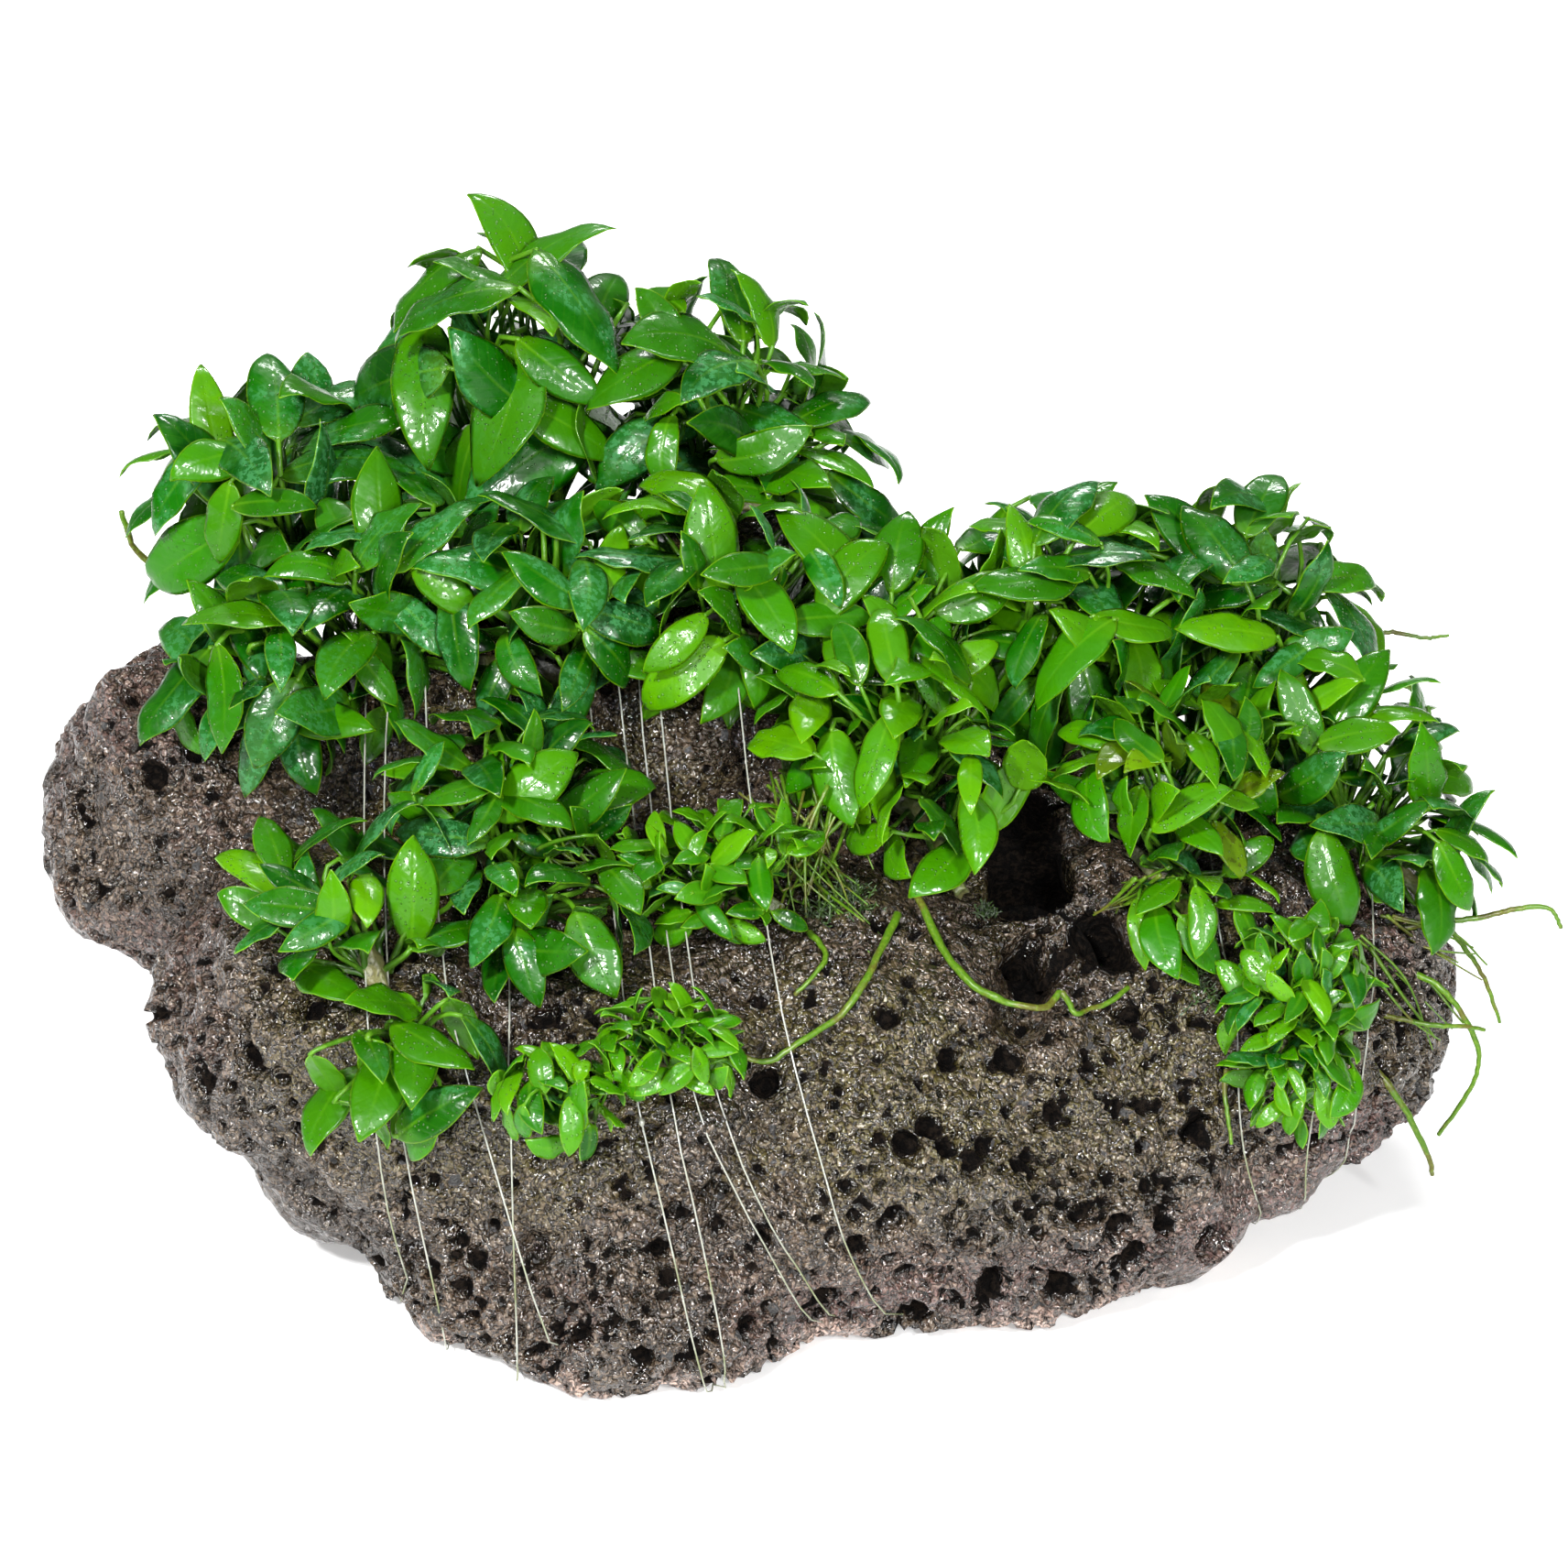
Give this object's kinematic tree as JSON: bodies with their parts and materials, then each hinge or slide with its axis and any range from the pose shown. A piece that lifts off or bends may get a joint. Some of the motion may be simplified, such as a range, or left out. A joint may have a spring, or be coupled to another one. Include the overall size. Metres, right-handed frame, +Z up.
{
  "type": "anubias on stone",
  "caption": "Small-leaved anubias plants tied with clear line onto a dark porous lava stone, as a ready-planted aquarium ornament.",
  "frame": {"origin": "on the flat of the stone's underside, below the middle of the stone", "axes": "+X along the stone towards its lower end, -Y towards its sloping front, +Z up"},
  "size_m": [0.2516, 0.1515, 0.1391],
  "materials": {
    "stone": "satin",
    "rhizome": "satin",
    "leaf": "gloss",
    "root": "satin",
    "tie_line": "gloss"
  },
  "bodies": {
    "root": {"stone": "stone", "rhizome_back_left": "rhizome", "rhizome_peak": "rhizome", "rhizome_back_centre": "rhizome", "rhizome_mid_left": "rhizome", "rhizome_mid_centre": "rhizome", "rhizome_mid_right": "rhizome", "rhizome_centre": "rhizome", "rhizome_right_back": "rhizome", "rhizome_right_peak": "rhizome", "rhizome_right_end": "rhizome", "rhizome_right_front": "rhizome", "rhizome_right_plantlets": "rhizome", "rhizome_front_left": "rhizome", "rhizome_front_centre": "rhizome", "rhizome_rosettes": "rhizome", "rhizome_bright_rosette": "rhizome", "rhizome_front_rosette": "rhizome", "leaves_back_left": "leaf", "leaves_peak": "leaf", "leaves_back_centre": "leaf", "leaves_mid_left": "leaf", "leaves_mid_centre": "leaf", "leaves_mid_right": "leaf", "leaves_centre": "leaf", "leaves_right_back": "leaf", "leaves_right_peak": "leaf", "leaves_right_end": "leaf", "leaves_right_front": "leaf", "leaves_right_plantlets": "leaf", "leaves_front_left": "leaf", "leaves_front_centre": "leaf", "leaves_rosettes": "leaf", "leaves_bright_rosette": "leaf", "leaves_front_rosette": "leaf", "root_curling": "root", "root_crossing": "root", "root_short": "root", "root_end_reaching": "root", "root_end_upper": "root", "root_end_middle": "root", "root_end_lower": "root", "root_end_level": "root", "root_back_left_curl": "root", "root_back_upper": "root", "root_back_lower": "root", "root_front_drop": "root", "line_left_outer": "tie_line", "line_left_second": "tie_line", "line_left_slanting": "tie_line", "line_left_upright": "tie_line", "line_middle_first": "tie_line", "line_middle_second": "tie_line", "line_middle_third": "tie_line", "line_middle_fourth": "tie_line", "line_middle_fifth": "tie_line", "line_right_first": "tie_line", "line_right_second": "tie_line", "line_right_third": "tie_line"}
  },
  "joints": []
}
